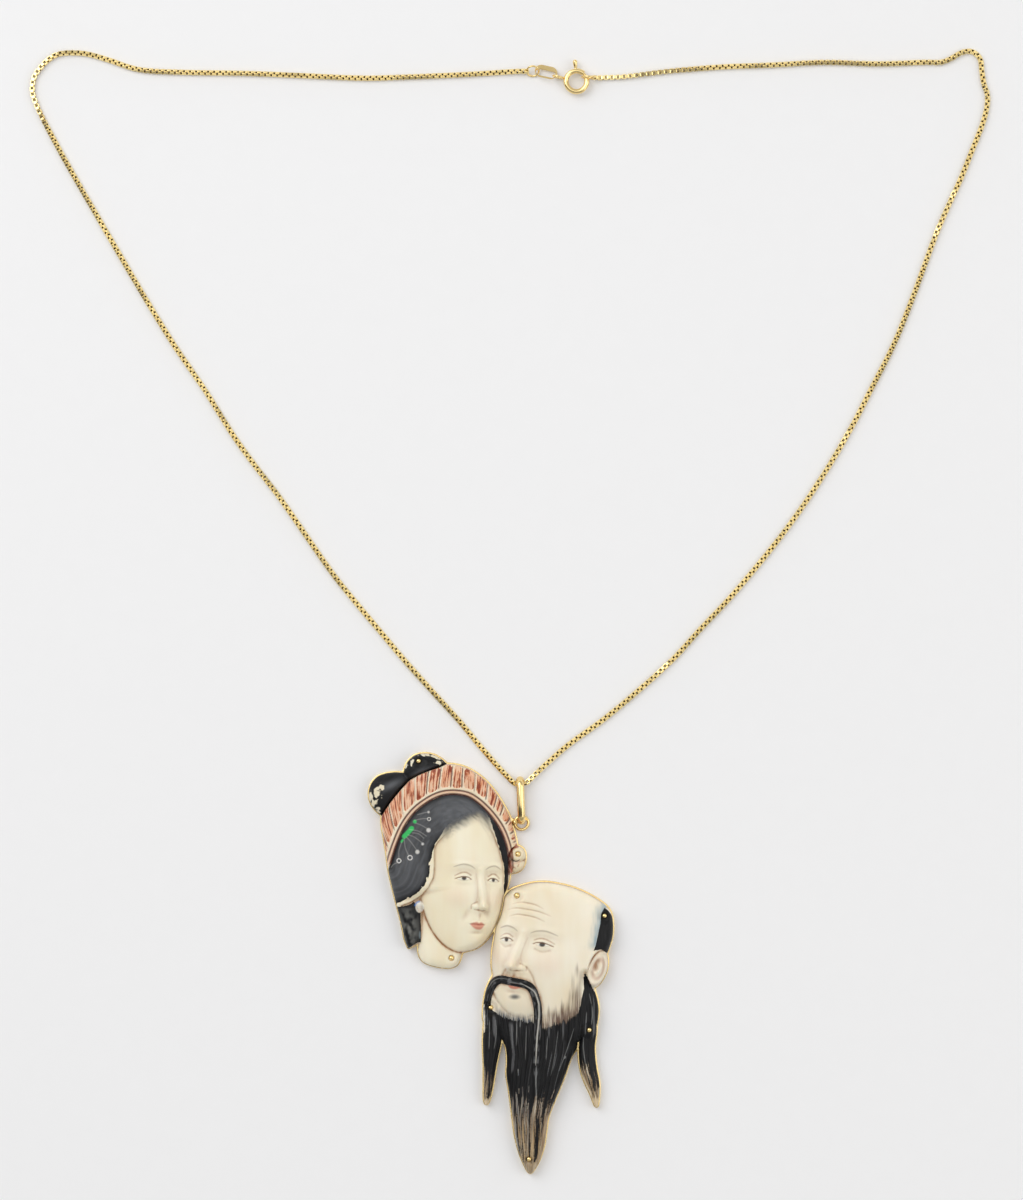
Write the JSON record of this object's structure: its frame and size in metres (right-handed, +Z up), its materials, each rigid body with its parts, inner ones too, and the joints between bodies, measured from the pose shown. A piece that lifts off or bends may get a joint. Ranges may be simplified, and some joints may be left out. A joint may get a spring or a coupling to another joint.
{
  "type": "pendant necklace",
  "caption": "Carved and painted ivory pendant of joined heads on a gold back plate, hung by a gold bail from a fine box chain with a spring ring clasp.",
  "frame": {"origin": "on the surface that the jewel lies on, under the middle of its outline", "axes": "+Y runs from the beard's tip up to the clasp, +Z points up from the surface, +X to the right as seen from above"},
  "size_m": [0.1821, 0.2136, 0.0055],
  "materials": {
    "lady_ivory": "polished ivory, painted black hair, red-brown band and green ornament, worn",
    "elder_ivory": "polished ivory with black painted beard and brown shaded creases, worn",
    "gold_plate": "polished yellow gold",
    "gold_pins": "polished yellow gold",
    "gold_bail": "polished yellow gold",
    "gold_chain": "bright yellow gold box links",
    "gold_clasp": "polished yellow gold"
  },
  "bodies": {
    "necklace": {"back_plate": "gold_plate", "lady_head": "lady_ivory", "elder_head": "elder_ivory", "pin_bun": "gold_pins", "pin_flower": "gold_pins", "pin_neck": "gold_pins", "pin_crown": "gold_pins", "pin_temple": "gold_pins", "pin_left_lock": "gold_pins", "pin_right_lock": "gold_pins", "pin_beard": "gold_pins", "bail": "gold_bail", "chain_left": "gold_chain", "chain_right": "gold_chain", "ring_left": "gold_clasp", "ring_right": "gold_clasp", "tag": "gold_clasp", "clasp_ring": "gold_clasp"},
    "trigger": {"clasp_bolt": "gold_clasp"}
  },
  "joints": [
    {"name": "clasp_trigger", "type": "hinge", "parent": "necklace", "child": "trigger", "pos_m": [0.0127, 0.1004, 0.0013], "axis": [0, 0, 1], "range_deg": [0, 38], "stiffness_Nm_per_rad": 0.0015, "springref_deg": -20.05}
  ]
}
